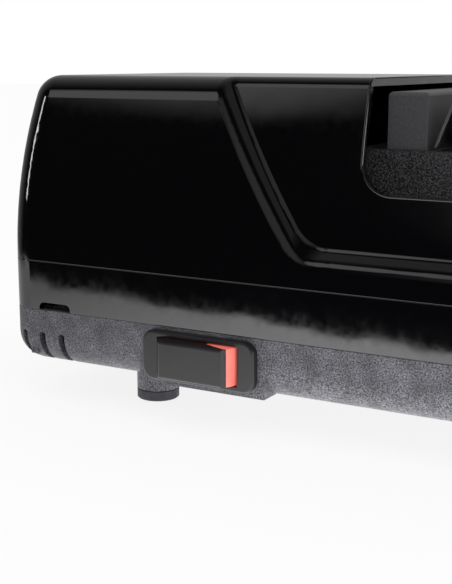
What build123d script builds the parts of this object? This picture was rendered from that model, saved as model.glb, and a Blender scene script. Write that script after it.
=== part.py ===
from build123d import *
import math
import os

os.makedirs("parts", exist_ok=True)

# Electric bench knife sharpener: a motor on the left drives three pairs of discs on the right.
# Millimetres, +Z up, front towards -Y, origin on the ground under the middle of the case.

# Case
case_length = 254.0
case_depth = 108.0
foot_height = 12.3
base_height = 18.7
band_height = 16.5
cover_height = 60.5
case_wall = 2.5
base_floor = 3.0
corner_radius = 10.5
base_edge_radius = 10.0
cover_sweep_radius = 245.0
cover_top_radius = 9.0
seam_round = 0.3
cover_edge_round = 0.15

# Recess round the knife window, on the front and on the back of the cover
scoop_depth = 4.0
scoop_rise = 7.9
scoop_left_margin = 16.9
scoop_left_lean = 35.5
scoop_right_margin = 7.5
scoop_right_lean = 2.0
scoop_low_slope = 0.8
scoop_left_slope = 0.78
scoop_right_slope = 0.6
scoop_corner = 7.0
scoop_corner_growth = 1.75
scoop_floor_round = 2.0
scoop_rim_round = 4.0
scoop_lead = 3.0

# Knife window through the cover
window_share = 105 / 254
window_inset = 22.5
window_drop = 32.7
window_corner = 9.5

# Feet
foot_inset_x = 46.5
foot_inset_y = 22.6
foot_radius = 7.15
pad_thickness = 3.6
pad_stem_radius = 3.0
pad_stem_length = 5.0
pad_groove = 0.4

# Vents round the left end of the base
vent_width = 2.5
vent_pitch = 7.9
vent_inset = 23.0
vent_count = 8
vent_top = 11.1
vent_round = 1.0
vent_reach = 8.5

# Pry notch in the band
notch_inset = 20.6
notch_width = 12.8
notch_height = 2.7
notch_round = 2.0

# Screws that hold the case together
screw_inset = 13.0
screw_radius = 2.0
screw_head_radius = 3.6
screw_head_height = 2.6
screw_clearance = 0.2
cross_length = 1.2
cross_width = 0.3
cross_depth = 0.45
post_radius = 5.5
post_rise = 24.0
thread_depth = 15.0
rib_thickness = 2.5

# Rocker switch
switch_shift = 26.0
switch_rise = 9.8
housing_width = 44.8
housing_depth = 10.0
bezel_width = 40.0
bezel_height = 15.9
bezel_thickness = 2.5
bezel_corner = 4.0
bezel_round = 0.8
sleeve_width = 36.0
sleeve_height = 14.2
sleeve_depth = 11.0
sleeve_clearance = 0.1
rocker_height = 11.8
rocker_side_gap = 0.3
rocker_radius = 14.0
rocker_proud = 4.5
rocker_cap_thickness = 1.6
rocker_edge_round = 0.7
rocker_skirt = 1.0
rocker_skirt_long = 11.0
rocker_skirt_short = 3.8
rocker_tail = 3.0
rocker_end_gap = 0.3
pivot_depth = 4.0
pivot_radius = 1.2
pivot_clearance = 0.05
body_width = 32.0
body_height = 13.4
body_depth = 11.0
terminal_width = 6.3
terminal_thickness = 0.8
terminal_length = 8.0
terminal_spacing = 16.0

# Knife guides
stage_count = 3
first_stage_share = 24.9 / 105
stage_pitch_share = 28 / 105
guide_half_gap = 9.7
deck_drop = 20.4
deck_thickness = 2.5
guide_height = 16.4
guide_inset = 17.5
guide_round = 1.2
end_block_share = 12 / 105
ridge_width = 3.0
ridge_height = 4.5
leaf_thickness = 0.8
leaf_lean = 21.5
leaf_gap = 0.4
leaf_end_gap = 0.5
leaf_lift = 0.9
leaf_arch_lift = 4.4
leaf_hinge_drop = 2.2

# Guide housing under the window
housing_left_margin = 7.5
housing_right_margin = 2.5
housing_seat = 2.5
apron_top_inset = 16.0
apron_foot_inset = 12.5
apron_slope_rise = 22.5
housing_wall = 2.5
seat_radius = 5.5
seat_inset_x = 7.5
seat_inset_y = 21.0

# Discs and shaft
disc_radius = 18.0
disc_reach = 2.4
disc_rim_offset = 7.0
disc_hub_offset = 8.9
disc_back_offset = 5.0
disc_seat_offset = 3.2
disc_hub_radius = 7.0
disc_margin = 3.0
shaft_radius = 4.0
running_clearance = 0.05
collar_width = 2.5
spring_turns = 3
spring_wire = 0.9
spring_radius = 5.6
spring_end_gap = 0.15
bearing_radius = 6.5
bearing_length = 8.0
hub_wall = 3.5

# Motor
stack_share = 76 / 254
stack_length = 32.0
rotor_share = 16 / 108
air_gap = 0.5
stator_ring = 6.5
leg_width = 8.0
pole_bridge = 2.0
core_share = 9 / 41
coil_clearance = 0.6
bobbin_wall = 0.8
flange_thickness = 1.2
winding_share = 4.6 / 41
end_ring_length = 5.0
end_ring_inset = 2.0
bolt_drop = 14.5
bolt_radius = 2.0
nut_height = 3.0
bracket_thickness = 3.0
standoff_length = 11.0
standoff_radius = 5.0
fan_radius = 22.0
fan_width = 8.0
fan_plate = 1.2
fan_blades = 9
fan_gap = 6.0
fan_hub_radius = 8.0
shaft_stub = 1.0

# Cord gland, clean-out door and magnet
gland_shift = 6.0
gland_bore = 3.5
gland_neck_radius = 6.0
gland_collar_radius = 8.0
gland_collar_width = 3.0
gland_lip_width = 2.5
gland_pad_width = 22.0
gland_clearance = 0.1
door_share = 76 / 105
door_width = 32.0
door_thickness = 1.5
door_clearance = 0.3
door_landing = 3.0
door_boss_radius = 4.0
door_boss_height = 6.0
door_screw_radius = 1.5
door_screw_head = 2.8
magnet_length = 40.0
magnet_width = 8.0
magnet_height = 4.0
magnet_gap = 4.0
wire_radius = 1.1
wire_spacing = 4.6
wire_gap = 0.5
wire_bend = 4.0

# Places that follow from the sizes above
half_x = case_length / 2
half_y = case_depth / 2
base_z = foot_height
floor_z = base_z + base_floor
seam_b = base_z + base_height
seam_a = seam_b + band_height
top_z = seam_a + cover_height
deck_z = top_z - deck_drop
shaft_z = deck_z + disc_reach - disc_radius
shaft_rise = shaft_z - seam_b
window_length = case_length * window_share
window_right = half_x - window_inset
window_left = window_right - window_length
window_sill_z = top_z - window_drop
scoop_left = window_left - scoop_left_margin
scoop_right = window_right + scoop_right_margin
first_stage_x = window_left + window_length * first_stage_share
stage_x = [first_stage_x + i * window_length * stage_pitch_share for i in range(stage_count)]
end_block_width = window_length * end_block_share
guide_depth = case_depth - 2 * guide_inset
housing_left = window_left - housing_left_margin
housing_right = window_right + housing_right_margin
apron_top_depth = half_y - apron_top_inset
apron_foot_depth = half_y - apron_foot_inset
seat_y = half_y - seat_inset_y
stack_left = -case_length * stack_share
rotor_radius = case_depth * rotor_share
core_height = shaft_rise * core_share
winding_depth = shaft_rise * winding_share
switch_x = stack_left + switch_shift
gland_x = stack_left + gland_shift
switch_z = base_z + switch_rise
bezel_face_y = -half_y - bezel_thickness
pivot_y = bezel_face_y + pivot_depth
rocker_face_y = bezel_face_y - rocker_proud
sleeve_back_y = -half_y + sleeve_depth
body_back_y = sleeve_back_y + body_depth
terminal_end_y = body_back_y + terminal_length
screw_x = half_x - screw_inset
screw_y = half_y - screw_inset
case_screw_places = [(sx * screw_x, sy * screw_y) for sx in (-1, 1) for sy in (-1, 1)]
foot_x = half_x - foot_inset_x
foot_y = half_y - foot_inset_y
foot_places = [(sx * foot_x, sy * foot_y) for sx in (-1, 1) for sy in (-1, 1)]
seat_places = [(x, sy * seat_y) for x in (housing_left + seat_inset_x, housing_right - seat_inset_x)
               for sy in (-1, 1)]
seat_z = seam_a + housing_seat
screw_seat_z = base_z + base_floor
stack_right = stack_left + stack_length
bore_radius = rotor_radius + air_gap
stator_radius = bore_radius + stator_ring
window_top_z = shaft_z - bore_radius - pole_bridge
coil_grow = bobbin_wall + winding_depth
core_top_z = window_top_z - coil_grow - coil_clearance
core_z = core_top_z - core_height
stator_foot_z = core_z - coil_grow - coil_clearance
leg_y = stator_radius - leg_width / 2
bolt_z = shaft_z - bolt_drop
motor_post_places = [(x, sy * leg_y) for x in (stack_left + post_radius, stack_right - post_radius)
                     for sy in (-1, 1)]
bracket_left_x = stack_left - standoff_length
bracket_right_x = stack_right + standoff_length
fan_right_x = bracket_left_x - bearing_length - fan_gap
shaft_left_x = fan_right_x - fan_width - shaft_stub
shaft_right_x = housing_right - shaft_stub
gland_z = (base_z + seam_b) / 2
gland_tail_y = -rocker_face_y
door_x = stage_x[stage_count // 2]
door_length = window_length * door_share
notch_x = notch_inset - half_x
vent_front_x = vent_inset - half_x
door_screw_x = door_x + door_length / 2 - door_landing - door_boss_radius


def lean_in(sweep_radius, rise):
    """How far a wall that starts upright has swept inwards at a height."""
    return sweep_radius - math.sqrt(sweep_radius**2 - rise**2)


def cover_shape(inset, skirt):
    """The cover's outer form, with every wall moved inwards by inset."""
    wall_sweep = cover_sweep_radius - inset
    rise = cover_height - inset
    heights = (-skirt, (rise - skirt) / 2, rise)
    with BuildPart() as shape:
        for plane, half, mode in (
            (Plane.XZ, half_x - inset, Mode.ADD),
            (Plane.YZ, half_y - inset, Mode.INTERSECT),
        ):
            side = [(half - lean_in(wall_sweep, h), seam_a + h) for h in heights]
            other = [(-x, z) for x, z in side]
            with BuildSketch(plane):
                with BuildLine():
                    ThreePointArc(*side)
                    Line(side[2], other[2])
                    ThreePointArc(*other)
                    Line(other[0], side[0])
                make_face()
            extrude(amount=case_length, both=True, mode=mode)
        upright = shape.edges().filter_by(lambda e: e.bounding_box().size.Z > rise / 2)
        fillet(upright, corner_radius - inset)
        fillet(shape.faces().sort_by(Axis.Z)[-1].edges(), cover_top_radius - inset)
    return shape.part


def scoop_plug(grow):
    """The front recess as a solid with sloping sides, grown by the wall for the inside."""
    low_z = seam_a + scoop_rise
    high_z = top_z + scoop_corner
    left_tan = math.tan(math.radians(scoop_left_lean))
    right_tan = math.tan(math.radians(scoop_right_lean))
    floor_sweep = cover_sweep_radius - scoop_depth - grow
    floor_half = half_y - scoop_depth - grow
    floor_heights = (0, cover_height / 2, cover_height + 2 * scoop_corner)
    reach = scoop_depth + grow + lean_in(floor_sweep, floor_heights[2])
    with BuildPart() as plug:
        for depth in (-scoop_lead, reach):
            low = low_z + scoop_low_slope * depth - grow
            left_shift = scoop_left_slope * depth - grow
            right_shift = scoop_right_slope * depth - grow
            left = [scoop_left - left_tan * (z - low_z) + left_shift for z in (low, high_z)]
            right = [scoop_right + right_tan * (z - low_z) - right_shift for z in (low, high_z)]
            with BuildSketch(Plane.XZ.offset(half_y - depth)) as outline:
                with BuildLine():
                    Polyline(
                        (left[0], low), (right[0], low), (right[1], high_z), (left[1], high_z), close=True
                    )
                make_face()
                left_corner = outline.vertices().group_by(Axis.Y)[0].sort_by(Axis.X)[0]
                fillet(left_corner, scoop_corner + scoop_corner_growth * depth)
                right_corner = outline.vertices().group_by(Axis.Y)[0].sort_by(Axis.X)[-1]
                fillet(right_corner, scoop_corner + scoop_right_slope * depth)
        loft(ruled=True)
        front = [(-floor_half + lean_in(floor_sweep, h), seam_a + h) for h in floor_heights]
        with BuildSketch(Plane.YZ):
            with BuildLine():
                ThreePointArc(*front)
                Polyline(front[2], (half_y, front[2][1]), (half_y, front[0][1]), front[0])
            make_face()
        extrude(amount=case_length, both=True, mode=Mode.SUBTRACT)
        if grow == 0:
            inward = plug.faces().filter_by(lambda f: f.normal_at().Y > 0.7)
            floor_edges = inward.sort_by(SortBy.AREA)[-1].edges()
            fillet(floor_edges.filter_by(lambda e: e.center().Z < top_z), scoop_floor_round)
    return plug.part


def upright_posts(places, radius, low, high, mode=Mode.ADD):
    """Round posts, or holes, at the given places between two heights."""
    with BuildSketch(Plane.XY.offset(low)) as section:
        with Locations(*places):
            Circle(radius)
    extrude(section.sketch, amount=high - low, mode=mode)


def corner_ribs(low, high):
    """Webs that tie each corner post to the two walls beside it."""
    for x, y in case_screw_places:
        reach_x = half_x - abs(x) - case_wall / 2
        reach_y = half_y - abs(y) - case_wall / 2
        with BuildSketch(Plane.XY.offset(low)) as section:
            with Locations((x + math.copysign(reach_x / 2, x), y)):
                Rectangle(reach_x, rib_thickness)
            with Locations((x + math.copysign(rib_thickness, x), y + math.copysign(reach_y / 2, y))):
                Rectangle(rib_thickness, reach_y)
        extrude(section.sketch, amount=high - low)


def pan_screws(places, seat, tip, shank, head, head_height):
    """Cross-head screws driven upwards, with their heads under the seat."""
    upright_posts(places, head, seat - head_height, seat)
    upright_posts(places, shank, seat, tip)
    with BuildSketch(Plane.XY.offset(seat - head_height)) as cross:
        with Locations(*places):
            Rectangle(head * cross_length, head * cross_width)
            Rectangle(head * cross_width, head * cross_length)
    extrude(cross.sketch, amount=head_height * cross_depth, mode=Mode.SUBTRACT)


def along_x(radius, start, end, y=0.0, z=None, mode=Mode.ADD):
    """A round bar or hole along X, on the shaft's axis unless placed elsewhere."""
    with BuildSketch(Plane.YZ.offset(start)) as section:
        with Locations((y, shaft_z if z is None else z)):
            Circle(radius)
    extrude(section.sketch, amount=end - start, mode=mode)


def block(x0, x1, y0, y1, z0, z1, mode=Mode.ADD):
    """A plain block between three pairs of limits."""
    with BuildSketch(Plane.XY.offset(z0)) as section:
        with Locations(((x0 + x1) / 2, (y0 + y1) / 2)):
            Rectangle(x1 - x0, y1 - y0)
    extrude(section.sketch, amount=z1 - z0, mode=mode)


# Upper cover: a thin shell swept inwards on all four sides
front_scoop = scoop_plug(0)
front_clear = scoop_plug(case_wall)
cover_outer = cover_shape(0, 0)

with BuildPart() as cover_cavity:
    add(cover_shape(case_wall, case_wall))
    for plug in (front_clear, front_clear.mirror(Plane.XZ)):
        add(plug, mode=Mode.SUBTRACT)

with BuildPart() as cover_posts:
    upright_posts(case_screw_places, post_radius, seam_a, seam_a + post_rise)
    corner_ribs(seam_a, seam_a + post_rise)
    add(cover_shape(case_wall / 2, 0), mode=Mode.INTERSECT)

with BuildPart() as upper_cover:
    add(cover_outer)
    for plug in (front_scoop, front_scoop.mirror(Plane.XZ)):
        add(plug, mode=Mode.SUBTRACT)
        cut_edges = upper_cover.edges(Select.LAST)
        rim = [e for e in cut_edges if min(f.distance_to(e @ 0.5) for f in cover_outer.faces()) < 0.001]
        fillet(rim, scoop_rim_round)
    fillet(upper_cover.faces().sort_by(Axis.Z)[0].edges(), cover_edge_round)
    add(cover_cavity.part, mode=Mode.SUBTRACT)
    with BuildSketch(Plane.XZ) as window:
        with BuildLine():
            Polyline(
                (window_left, window_sill_z),
                (window_right, window_sill_z),
                (window_right, top_z + window_corner),
                (window_left, top_z + window_corner),
                close=True,
            )
        make_face()
        fillet(window.vertices().group_by(Axis.Y)[0], window_corner)
    extrude(amount=case_depth, both=True, mode=Mode.SUBTRACT)
    add(cover_posts.part)
    upright_posts(case_screw_places, screw_radius, seam_a, seam_a + thread_depth, Mode.SUBTRACT)
upper_cover.part.label = "upper_cover"
export_step(upper_cover.part, "parts/upper_cover.step")

# Band between cover and base, with lugs for the case screws and a pry notch
with BuildPart() as case_band:
    with BuildSketch(Plane.XY.offset(seam_b)):
        RectangleRounded(case_length, case_depth, corner_radius)
    extrude(amount=band_height)
    fillet(case_band.faces().sort_by(Axis.Z)[-1].edges(), seam_round)
    fillet(case_band.faces().sort_by(Axis.Z)[0].edges(), seam_round)
    with BuildSketch(Plane.XY.offset(seam_b)):
        RectangleRounded(case_length - 2 * case_wall, case_depth - 2 * case_wall, corner_radius - case_wall)
    extrude(amount=band_height, mode=Mode.SUBTRACT)
    upright_posts(case_screw_places, post_radius, seam_b, seam_a)
    corner_ribs(seam_b, seam_a)
    upright_posts(case_screw_places, screw_radius + screw_clearance, seam_b, seam_a, Mode.SUBTRACT)
    with BuildSketch(Plane.XZ.offset(half_y - 2 * case_wall)) as notch:
        with Locations((notch_x, seam_b)):
            Rectangle(notch_width, 2 * notch_height)
        fillet(notch.vertices().group_by(Axis.Y)[-1], notch_round)
    extrude(amount=2 * case_wall, mode=Mode.SUBTRACT)
case_band.part.label = "case_band"
export_step(case_band.part, "parts/case_band.step")

# Base tray: rounded under its edges, squared down behind the switch and the gland
with BuildPart() as tray_hollow:
    with BuildSketch(Plane.XY.offset(floor_z)):
        RectangleRounded(case_length - 2 * case_wall, case_depth - 2 * case_wall, corner_radius - case_wall)
    extrude(amount=base_height)
    fillet(tray_hollow.faces().sort_by(Axis.Z)[0].edges(), base_edge_radius - case_wall)

corner_start = half_x - corner_radius
corner_arc = corner_radius * math.pi / 2


def vent_plane(index):
    """Where a vent sits on the outline: along the front, round the corner, then the left end."""
    run = index * vent_pitch
    front_run = vent_front_x + corner_start
    if run <= front_run:
        return Plane(origin=(vent_front_x - run, -half_y, base_z), x_dir=(1, 0, 0), z_dir=(0, -1, 0))
    if run <= front_run + corner_arc:
        turn = (run - front_run) / corner_radius
        outward = Vector(-math.sin(turn), -math.cos(turn), 0)
        across = Vector(math.cos(turn), -math.sin(turn), 0)
        centre = Vector(-corner_start, -half_y + corner_radius, base_z)
        return Plane(origin=centre + outward * corner_radius, x_dir=across, z_dir=outward)
    y = -half_y + corner_radius + run - front_run - corner_arc
    return Plane(origin=(-half_x, y, base_z), x_dir=(0, -1, 0), z_dir=(-1, 0, 0))


with BuildPart() as vent_slots:
    for index in range(vent_count):
        with BuildSketch(vent_plane(index)) as vent:
            with Locations((0, (vent_top - base_floor) / 2)):
                Rectangle(vent_width, vent_top + base_floor)
            fillet(vent.vertices().group_by(Axis.Y)[-1], vent_round)
        extrude(amount=base_floor)
        extrude(vent.sketch, amount=-vent_reach)

with BuildPart() as base_tray:
    with BuildSketch(Plane.XY.offset(base_z)):
        RectangleRounded(case_length, case_depth, corner_radius)
    extrude(amount=base_height)
    fillet(base_tray.faces().sort_by(Axis.Z)[0].edges(), base_edge_radius)
    add(tray_hollow.part, mode=Mode.SUBTRACT)
    block(switch_x - housing_width / 2, switch_x + housing_width / 2, -half_y, -half_y + housing_depth,
          base_z, seam_b)
    block(gland_x - gland_pad_width / 2, gland_x + gland_pad_width / 2, half_y - housing_depth, half_y,
          base_z, seam_b)
    with BuildSketch(Plane.XZ.offset(half_y)):
        with Locations((switch_x, switch_z)):
            Rectangle(sleeve_width + 2 * sleeve_clearance, sleeve_height + 2 * sleeve_clearance)
    extrude(amount=-max(housing_depth, sleeve_depth + sleeve_clearance), mode=Mode.SUBTRACT)
    for depth, radius in ((0, gland_neck_radius + gland_clearance), (case_wall, gland_collar_radius)):
        with BuildSketch(Plane.XZ.offset(depth - half_y)):
            with Locations((gland_x, gland_z)):
                Circle(radius)
        extrude(amount=housing_depth - depth, mode=Mode.SUBTRACT)
    upright_posts(foot_places, foot_radius, pad_thickness, floor_z)
    upright_posts(case_screw_places, post_radius, floor_z, seam_b)
    corner_ribs(floor_z, seam_b)
    upright_posts(motor_post_places, post_radius, floor_z, stator_foot_z)
    upright_posts(seat_places, seat_radius, floor_z, seat_z)
    screwed = case_screw_places + motor_post_places + seat_places
    upright_posts(screwed, screw_radius + screw_clearance, base_z, seat_z, Mode.SUBTRACT)
    upright_posts(screwed, screw_head_radius + screw_clearance, base_z, screw_seat_z, Mode.SUBTRACT)
    upright_posts(foot_places, pad_stem_radius, pad_thickness, pad_thickness + pad_stem_length, Mode.SUBTRACT)
    upright_posts([(door_screw_x, 0)], door_boss_radius, floor_z, floor_z + door_boss_height)
    with BuildSketch(Plane.XY.offset(base_z)):
        with Locations((door_x, 0)):
            Rectangle(door_length + 2 * door_clearance, door_width + 2 * door_clearance)
    extrude(amount=door_thickness, mode=Mode.SUBTRACT)
    block(door_x - door_length / 2 + door_landing, door_screw_x - door_boss_radius - door_landing,
          door_landing - door_width / 2, door_width / 2 - door_landing, base_z, floor_z, Mode.SUBTRACT)
    upright_posts([(door_screw_x, 0)], door_screw_radius, base_z, floor_z + door_boss_height, Mode.SUBTRACT)
    for slots in (vent_slots.part, vent_slots.part.mirror(Plane.XZ)):
        add(slots, mode=Mode.SUBTRACT)
base_tray.part.label = "base_tray"
export_step(base_tray.part, "parts/base_tray.step")

# Rubber foot pads, each pressed into its post by a stem
with BuildPart() as foot_pads:
    upright_posts(foot_places, foot_radius, 0, pad_thickness)
    chamfer(foot_pads.edges().filter_by(GeomType.CIRCLE), pad_groove)
    upright_posts(foot_places, pad_stem_radius, pad_thickness, pad_thickness + pad_stem_length)
foot_pads.part.label = "foot_pads"
export_step(foot_pads.part, "parts/foot_pads.step")

# Screws driven from below
with BuildPart() as case_screws:
    pan_screws(case_screw_places, screw_seat_z, seam_a + thread_depth, screw_radius, screw_head_radius,
               screw_head_height)
case_screws.part.label = "case_screws"
export_step(case_screws.part, "parts/case_screws.step")

with BuildPart() as motor_screws:
    pan_screws(motor_post_places, screw_seat_z, core_z, screw_radius, screw_head_radius, screw_head_height)
motor_screws.part.label = "motor_screws"
export_step(motor_screws.part, "parts/motor_screws.step")

with BuildPart() as guide_screws:
    pan_screws(seat_places, screw_seat_z, seat_z + thread_depth, screw_radius, screw_head_radius,
               screw_head_height)
guide_screws.part.label = "guide_screws"
export_step(guide_screws.part, "parts/guide_screws.step")

# Clean-out door under the discs, its screw, and the magnet that holds the filings
with BuildPart() as cleanout_door:
    with BuildSketch(Plane.XY.offset(base_z)):
        with Locations((door_x, 0)):
            Rectangle(door_length, door_width)
        with Locations((door_screw_x, 0)):
            Circle(door_screw_radius + screw_clearance, mode=Mode.SUBTRACT)
    extrude(amount=door_thickness)
cleanout_door.part.label = "cleanout_door"
export_step(cleanout_door.part, "parts/cleanout_door.step")

with BuildPart() as door_screw:
    pan_screws([(door_screw_x, 0)], base_z, floor_z + door_boss_height, door_screw_radius, door_screw_head,
               door_thickness)
door_screw.part.label = "door_screw"
export_step(door_screw.part, "parts/door_screw.step")

with BuildPart() as filings_magnet:
    block(door_x - magnet_length / 2, door_x + magnet_length / 2, door_width / 2 + magnet_gap,
          door_width / 2 + magnet_gap + magnet_width, floor_z, floor_z + magnet_height)
filings_magnet.part.label = "filings_magnet"
export_step(filings_magnet.part, "parts/filings_magnet.step")

# Cord gland in the back of the base
with BuildPart() as cord_gland:
    lip_y = half_y - case_wall - gland_lip_width
    for start, end, radius in (
        (lip_y, half_y - case_wall, gland_collar_radius - gland_clearance),
        (half_y - case_wall, half_y, gland_neck_radius),
        (half_y, half_y + gland_collar_width, gland_collar_radius),
        (half_y + gland_collar_width, gland_tail_y, gland_neck_radius),
    ):
        with BuildSketch(Plane.XZ.offset(-start)):
            with Locations((gland_x, gland_z)):
                Circle(radius)
                Circle(gland_bore, mode=Mode.SUBTRACT)
        extrude(amount=start - end)
cord_gland.part.label = "cord_gland"
export_step(cord_gland.part, "parts/cord_gland.step")

# Switch bezel: a rounded plate in front of the case with a sleeve through it
aperture_width = 2 * (rocker_radius + rocker_end_gap)
aperture_height = rocker_height + 2 * rocker_side_gap
with BuildPart() as switch_bezel:
    with BuildSketch(Plane.XZ.offset(half_y)):
        with Locations((switch_x, switch_z)):
            RectangleRounded(bezel_width, bezel_height, bezel_corner)
    extrude(amount=bezel_thickness)
    fillet(switch_bezel.faces().sort_by(Axis.Y)[0].edges(), bezel_round)
    with BuildSketch(Plane.XZ.offset(half_y)):
        with Locations((switch_x, switch_z)):
            Rectangle(sleeve_width, sleeve_height)
    extrude(amount=-sleeve_depth)
    with BuildSketch(Plane.XZ.offset(-bezel_face_y)):
        with Locations((switch_x, switch_z)):
            Rectangle(aperture_width, aperture_height)
    extrude(amount=-(bezel_thickness + sleeve_depth), mode=Mode.SUBTRACT)
    with BuildSketch(Plane.XY.offset(switch_z)):
        with Locations((switch_x, pivot_y)):
            Circle(pivot_radius + pivot_clearance)
    extrude(amount=sleeve_height / 2, both=True, mode=Mode.SUBTRACT)
switch_bezel.part.label = "switch_bezel"
export_step(switch_bezel.part, "parts/switch_bezel.step")


def rocker_outline():
    """The rocker seen from above: a flat face with round ends about the pivot."""
    with Locations((switch_x, pivot_y)):
        Circle(rocker_radius)
    depth = rocker_tail + pivot_y - rocker_face_y
    with Locations((switch_x, rocker_face_y + depth / 2)):
        Rectangle(2 * rocker_radius, depth, mode=Mode.INTERSECT)


# Rocker cap: a black face with skirts above and below that leave the right end bare
skirt_front_y = rocker_face_y + rocker_cap_thickness
with BuildPart() as rocker_blank:
    with BuildSketch(Plane.XY.offset(switch_z - rocker_height / 2)):
        rocker_outline()
        with Locations((switch_x, rocker_face_y + rocker_cap_thickness / 2)):
            Rectangle(2 * rocker_radius, rocker_cap_thickness, mode=Mode.INTERSECT)
    extrude(amount=rocker_height)
    for low in (-rocker_height / 2, rocker_height / 2 - rocker_skirt):
        with BuildSketch(Plane.XY.offset(switch_z + low)):
            rocker_outline()
            with BuildLine():
                Polyline(
                    (switch_x - rocker_radius, skirt_front_y),
                    (switch_x + rocker_skirt_long, skirt_front_y),
                    (switch_x + rocker_skirt_short, bezel_face_y),
                    (switch_x + rocker_skirt_short, pivot_y - pivot_radius - rocker_skirt),
                    (switch_x - rocker_radius, pivot_y - pivot_radius - rocker_skirt),
                    close=True,
                )
            make_face(mode=Mode.INTERSECT)
        extrude(amount=rocker_skirt)
with BuildPart() as rocker_cap:
    add(rocker_blank.part)
    fillet(rocker_cap.faces().sort_by(Axis.Y)[0].edges(), rocker_edge_round)
rocker_cap.part.label = "rocker_cap"
export_step(rocker_cap.part, "parts/rocker_cap.step")

# Rocker core: the red body under the cap, with its pivot pins
with BuildPart() as rocker_core:
    with BuildSketch(Plane.XY.offset(switch_z - rocker_height / 2)):
        rocker_outline()
    extrude(amount=rocker_height)
    add(rocker_blank.part, mode=Mode.SUBTRACT)
    with BuildSketch(Plane.XY.offset(switch_z)):
        with Locations((switch_x, pivot_y)):
            Circle(pivot_radius)
    extrude(amount=sleeve_height / 2, both=True)
rocker_core.part.label = "rocker_core"
export_step(rocker_core.part, "parts/rocker_core.step")

# Switch body and its two spade terminals
with BuildPart() as switch_body:
    block(switch_x - body_width / 2, switch_x + body_width / 2, sleeve_back_y, body_back_y,
          switch_z - body_height / 2, switch_z + body_height / 2)
switch_body.part.label = "switch_body"
export_step(switch_body.part, "parts/switch_body.step")

terminal_x = [switch_x + side * terminal_spacing / 2 for side in (-1, 1)]
with BuildPart() as switch_terminals:
    for x in terminal_x:
        block(x - terminal_thickness / 2, x + terminal_thickness / 2, body_back_y, terminal_end_y,
              switch_z - terminal_width / 2, switch_z + terminal_width / 2)
switch_terminals.part.label = "switch_terminals"
export_step(switch_terminals.part, "parts/switch_terminals.step")

# Guide housing: a box under the window with a sloping textured apron at front and back
with BuildPart() as guide_housing:
    slope_z = deck_z - apron_slope_rise
    for side in (-1, 1):
        outer = [(side * apron_foot_depth, seat_z), (side * apron_foot_depth, slope_z),
                 (side * apron_top_depth, deck_z)]
        inner = [(y - side * housing_wall, z) for y, z in reversed(outer)]
        with BuildSketch(Plane.YZ.offset(housing_left)):
            with BuildLine():
                Polyline(*outer, *inner, close=True)
            make_face()
        extrude(amount=housing_right - housing_left)
    inside_y = apron_top_depth - housing_wall / 2
    block(housing_left, housing_left + housing_wall, -inside_y, inside_y, seat_z, deck_z)
    block(housing_right - housing_wall, housing_right, -inside_y, inside_y, seat_z, deck_z)
    block(housing_left, housing_right, -inside_y, inside_y, deck_z - deck_thickness, deck_z)
    for x in stage_x:
        block(x - guide_half_gap, x + guide_half_gap, -disc_radius - disc_margin, disc_radius + disc_margin,
              deck_z - deck_thickness, deck_z, Mode.SUBTRACT)
    along_x(bearing_radius + hub_wall, housing_right - bearing_length, housing_right)
    along_x(bearing_radius, housing_right - bearing_length, housing_right, mode=Mode.SUBTRACT)
    along_x(bearing_radius + hub_wall, housing_left, housing_left + housing_wall, mode=Mode.SUBTRACT)
    upright_posts(seat_places, seat_radius, seat_z, seat_z + thread_depth + seat_radius)
    for x, y in seat_places:
        wall_x = housing_left if x < (housing_left + housing_right) / 2 else housing_right
        block(min(x, wall_x), max(x, wall_x), y - rib_thickness / 2, y + rib_thickness / 2, seat_z,
              seat_z + thread_depth + seat_radius)
    upright_posts(seat_places, screw_radius, seat_z, seat_z + thread_depth, Mode.SUBTRACT)
guide_housing.part.label = "guide_housing"
export_step(guide_housing.part, "parts/guide_housing.step")

# Guide blocks on the deck: their upright faces lead the blade
block_spans = [(stage_x[0] - guide_half_gap - end_block_width, stage_x[0] - guide_half_gap)]
for near, far in zip(stage_x, stage_x[1:]):
    block_spans.append((near + guide_half_gap, far - guide_half_gap))
block_spans.append((stage_x[-1] + guide_half_gap, stage_x[-1] + guide_half_gap + end_block_width))
for number, (x0, x1) in enumerate(block_spans, 1):
    with BuildPart() as guide_block:
        block(x0, x1, -guide_depth / 2, guide_depth / 2, deck_z, deck_z + guide_height)
        fillet(guide_block.faces().sort_by(Axis.Z)[-1].edges(), guide_round)
    guide_block.part.label = f"guide_block_{number}"
    export_step(guide_block.part, f"parts/guide_block_{number}.step")

# Centre ridge of each stage: a bar on two legs that carries the guide leaves
for number, x in enumerate(stage_x, 1):
    with BuildPart() as guide_ridge:
        block(x - ridge_width / 2, x + ridge_width / 2, -guide_depth / 2, guide_depth / 2, deck_z,
              deck_z + guide_height)
        fillet(guide_ridge.faces().sort_by(Axis.Z)[-1].edges().filter_by(Axis.Y), guide_round)
        block(x - ridge_width, x + ridge_width, ridge_width - guide_depth / 2, guide_depth / 2 - ridge_width,
              deck_z, deck_z + guide_height - ridge_height, Mode.SUBTRACT)
    guide_ridge.part.label = f"guide_ridge_{number}"
    export_step(guide_ridge.part, f"parts/guide_ridge_{number}.step")

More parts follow.
